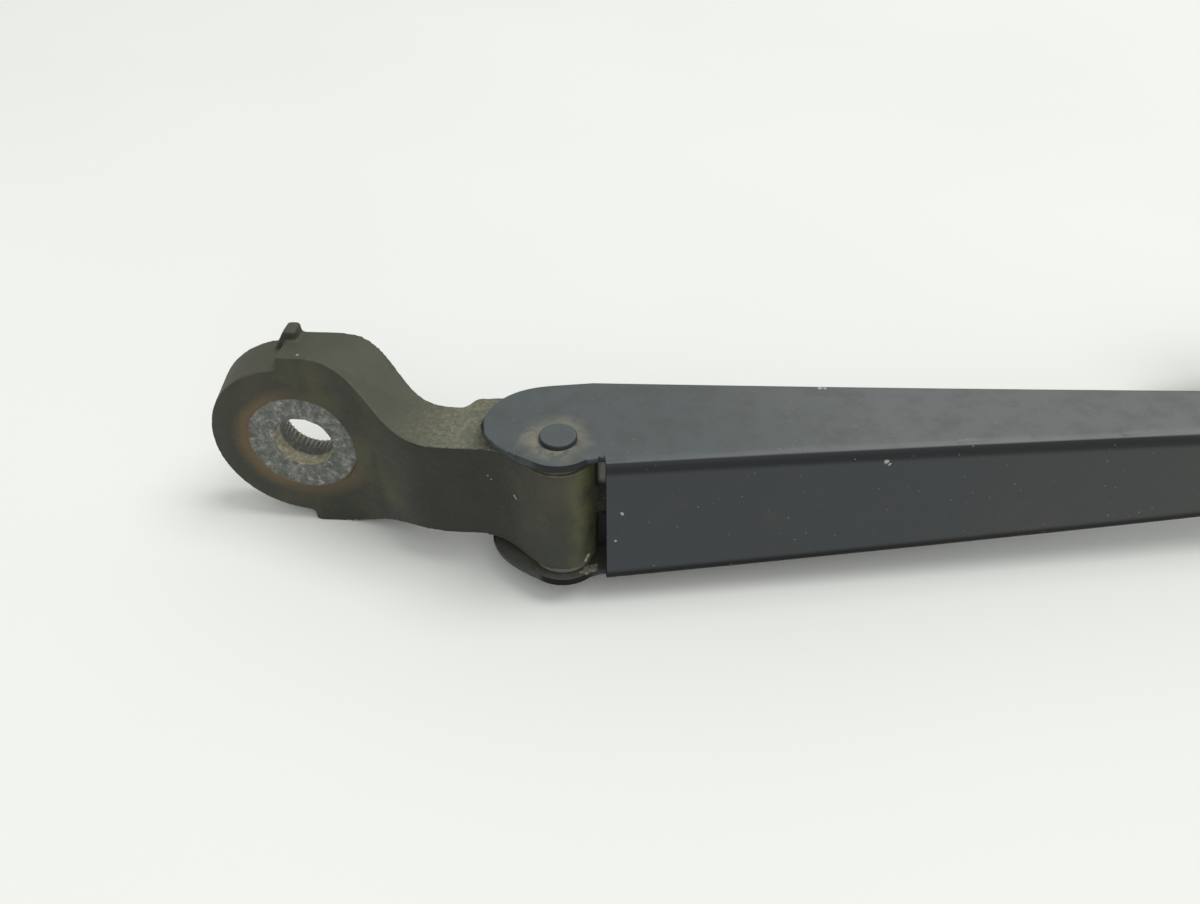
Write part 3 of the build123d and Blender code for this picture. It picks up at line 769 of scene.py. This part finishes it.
# %% One tooth
def tooth_mesh(low, high, tip, root, half):
    """One wedge along Y, drawn at the top of the bore, closed and facing outwards."""
    mesh = bpy.data.meshes.new("tooth")
    shape = [(-half, root), (0, tip), (half, root), (half, root + 0.5), (-half, root + 0.5)]
    points = [Vector((x, y, z)) * MM for y in (low, high) for x, z in shape]
    count = len(shape)
    sides = [(i, (i + 1) % count, count + (i + 1) % count, count + i) for i in range(count)]
    ends = [tuple(range(count))[::-1], tuple(range(count, 2 * count))]
    mesh.from_pydata(points, [], sides + ends)
    wedge = bmesh.new()
    wedge.from_mesh(mesh)
    bmesh.ops.recalc_face_normals(wedge, faces=wedge.faces)
    wedge.to_mesh(mesh)
    wedge.free()
    return mesh


tooth = held("tooth", tooth_mesh(low=2.7, high=6.9, tip=4.76, root=5.04, half=0.24))
print("tooth:", len(tooth.data.polygons), "faces")

# %% [markdown]
# The teeth wear the same scuffed metal as the wall, a little yellower on the low side of the bore.

# %% Tooth finish
serration_metal, tree, shader, place, normal = finish_of("serration_metal", 0.3, 0.5)
scuff = noise(tree, place, 0.7, 5.0, 0.7)
low_side = soft(tree, part_of(tree, place, 2), 0.001, -0.004)
metal = mix(tree, soft(tree, scuff, 0.4, 0.65), (0.26, 0.26, 0.235), (0.50, 0.495, 0.44))
metal = laid(tree, metal, low_side, 0.3, (0.42, 0.39, 0.24))
fill(tree, shader.inputs["Base Color"], metal)
fill(tree, shader.inputs["Roughness"], plus(tree, 0.4, times(tree, scuff, 0.3)))
print("tooth finish:", serration_metal.name)

# %% [markdown]
# A copy of the tooth is put on each point of a line that has no length, and each copy is turned by
# its own index, which spreads the teeth round the axis.

# %% Bore serration
TEETH = 40
ring = node_tree("serration_ring")
input_socket(ring, "Teeth", "NodeSocketInt", TEETH)
given = put(ring, "NodeGroupInput")
points = put(ring, "GeometryNodeMeshLine", {"mode": "OFFSET"}, Count=given.outputs["Teeth"],
             Offset=(0, 0, 0))
step = maths(ring, "DIVIDE", math.tau, given.outputs["Teeth"])
index = put(ring, "GeometryNodeInputIndex")
spin = put(ring, "ShaderNodeCombineXYZ", Y=times(ring, index.outputs[0], step))
single = put(ring, "GeometryNodeObjectInfo", Object=tooth)
teeth = put(ring, "GeometryNodeInstanceOnPoints", Points=points.outputs[0],
            Instance=single.outputs["Geometry"], Rotation=spin.outputs[0])
close_tree(ring, teeth.outputs[0], serration_metal)
serration = grown("bore_serration", ring, {"Teeth": TEETH})
bpy.data.objects.remove(tooth)
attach(serration, "head")

# %% [markdown]
# The spring lies on the straight line from the end of the link to the bar. Its frame has the first
# turn at the origin and runs along Z.

# %% Spring line
PIN_ARM = Matrix.Rotation(-ARM_TURN, 3, "Z") @ Vector((-1.0, 9.2, 0))
ANCHOR = Vector((86.0, 0.55, 0))
LINK_LENGTH = 17.0
COIL_R = 3.2
TURNS = 16.25
along = (ANCHOR - PIN_ARM).normalized()
across = Vector((0, 0, 1))
coil_length = (ANCHOR - PIN_ARM).length - LINK_LENGTH - 2 * COIL_R
pitch = coil_length / TURNS
coil_start = PIN_ARM + along * (LINK_LENGTH + COIL_R)
coil_turn = Matrix((across, along.cross(across), along)).transposed().to_4x4()
coil_place = arm_to_part @ Matrix.Translation(coil_start) @ coil_turn
print("coil", round(coil_length, 2), "mm long, pitch", round(pitch, 2), "mm")

# %% [markdown]
# The wire is round. The long coil hangs on the link and the shorter tail on the arm's bar, and where
# they overlap the two lie inside each other at rest. When the arm is lifted the coil draws out of
# the tail, so the spring still reaches from hook to hook, as a stretched one does.

# %% Spring
COIL_END = 16.1
TAIL_START = 12.4
COIL_WIRE = 0.74
TAIL_WIRE = 0.75


def spring_piece(name, first, last, wire, hook_at, body):
    """Turns first to last of the coil, with a half hook at its lower (0) or upper (1) end."""
    tree = node_tree(name)
    sizes = {"Coil radius": COIL_R, "Wire radius": wire, "Turns": last - first}
    for label, value in sizes.items():
        input_socket(tree, label, "NodeSocketFloat", value)
    given = put(tree, "NodeGroupInput")
    radius = given.outputs["Coil radius"]
    spiral = put(tree, "GeometryNodeCurveSpiral", Resolution=40, Rotations=given.outputs["Turns"],
                 Start_Radius=radius, End_Radius=radius, Height=pitch * (last - first))
    placed = put(tree, "GeometryNodeTransform", Geometry=spiral.outputs[0],
                 Translation=(0, 0, pitch * first), Rotation=(0, 0, math.tau * first))
    turned = math.tau * (first if hook_at == 0 else last)
    lift, bow = (0, -COIL_R) if hook_at == 0 else (coil_length, coil_length + COIL_R)
    rim = Vector((COIL_R * math.cos(turned), COIL_R * math.sin(turned), lift))
    arc = put(tree, "GeometryNodeCurveArc", {"mode": "POINTS"}, Resolution=24, Start=rim,
              Middle=(0, 0, bow), End=(-rim.x, -rim.y, lift))
    wires = put(tree, "GeometryNodeJoinGeometry")
    for source in (placed, arc):
        tree.links.new(source.outputs[0], wires.inputs[0])
    section = put(tree, "GeometryNodeCurvePrimitiveCircle", Resolution=12,
                  Radius=given.outputs["Wire radius"])
    tube = put(tree, "GeometryNodeCurveToMesh", Curve=wires.outputs[0],
               Profile_Curve=section.outputs[0], Fill_Caps=True)
    close_tree(tree, tube.outputs[0], spring_steel)
    piece = grown(name, tree, sizes)
    piece.data.transform(Matrix.Scale(MM, 4) @ coil_place)
    piece.data.shade_smooth()
    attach(piece, body)
    return piece


spring_piece("spring_coil", 0.0, COIL_END, COIL_WIRE, 0, "link")
tail = spring_piece("spring_tail", TAIL_START, TURNS, TAIL_WIRE, 1, "arm")
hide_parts("tension_spring")

# %% [markdown]
# Dirt has caked in the corner of the lower ear. It is a scatter of crumbs, which needs a small patch
# to throw points on, one rough little stone, and a dull brown finish.

# %% Stone and patch
def patch_mesh(name, corners, cells):
    """A flat patch between corners given in the arm's frame, cut into cells."""
    mesh = bpy.data.meshes.new(name)
    patch = bmesh.new()
    verts = [patch.verts.new(arm_to_part @ Vector(corner) * MM) for corner in corners]
    patch.faces.new(verts)
    bmesh.ops.subdivide_edges(patch, edges=patch.edges, cuts=cells, use_grid_fill=True)
    patch.to_mesh(mesh)
    patch.free()
    return mesh


def stone_mesh():
    """A flattened ball with bumps, a millimetre across."""
    mesh = bpy.data.meshes.new("stone")
    rough = bmesh.new()
    bmesh.ops.create_icosphere(rough, subdivisions=1, radius=0.5 * MM)
    for vert in rough.verts:
        vert.co *= 1 + 0.35 * math.sin(vert.co.x * 9e3 + vert.co.y * 7e3 + vert.co.z * 5e3)
        vert.co.z *= 0.6
    rough.to_mesh(mesh)
    rough.free()
    return mesh


pebble = held("stone", stone_mesh())
caked_dirt, tree, shader, place, normal = finish_of("caked_dirt", specular=0.2)
tone = noise(tree, place, 0.6, 4.0, 0.7)
brown = mix(tree, tone, (0.09, 0.086, 0.062), (0.26, 0.25, 0.19))
fill(tree, shader.inputs["Base Color"], brown)
shader.inputs["Roughness"].default_value = 0.9
relief(tree, shader, tone, depth=0.05)
print("stone:", len(pebble.data.polygons), "faces")

# %% [markdown]
# The tree throws points on the patch with a fixed seed and puts a stone on each, in several sizes
# and turned at random, the same way on every run.

# %% Crumbs in the ear
DENSITY = 7.5e6
SEED = 7
TURN_SEED = 3
SMALLEST, LARGEST = 0.25, 0.95
CORNER = [(2.0, -5.2, -10.48), (4.4, -4.6, -10.48), (4.9, -3.2, -10.48), (2.9, -3.6, -10.48)]
scatter = node_tree("crumb_scatter")
scatter.interface.new_socket("Geometry", in_out="INPUT", socket_type="NodeSocketGeometry")
input_socket(scatter, "Density", "NodeSocketFloat", DENSITY)
input_socket(scatter, "Seed", "NodeSocketInt", SEED)
given = put(scatter, "NodeGroupInput")
thrown = put(scatter, "GeometryNodeDistributePointsOnFaces", Mesh=given.outputs["Geometry"],
             Density=given.outputs["Density"], Seed=given.outputs["Seed"])
sizes = put(scatter, "FunctionNodeRandomValue", {"data_type": "FLOAT"}, Seed=given.outputs["Seed"])
sizes.inputs[2].default_value = SMALLEST
sizes.inputs[3].default_value = LARGEST
turns = put(scatter, "FunctionNodeRandomValue", {"data_type": "FLOAT_VECTOR"}, Seed=TURN_SEED)
turns.inputs[1].default_value = (0.4, 0.4, math.tau)
single = put(scatter, "GeometryNodeObjectInfo", Object=pebble)
crumbs = put(scatter, "GeometryNodeInstanceOnPoints", Points=thrown.outputs["Points"],
             Instance=single.outputs["Geometry"], Rotation=turns.outputs[0],
             Scale=sizes.outputs[1])
close_tree(scatter, crumbs.outputs[0], caked_dirt)
corner_patch = patch_mesh("ear_dirt", CORNER, 3)
dirt = grown("ear_dirt", scatter, {"Density": DENSITY, "Seed": SEED}, corner_patch)
bpy.data.objects.remove(pebble)
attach(dirt, "arm")
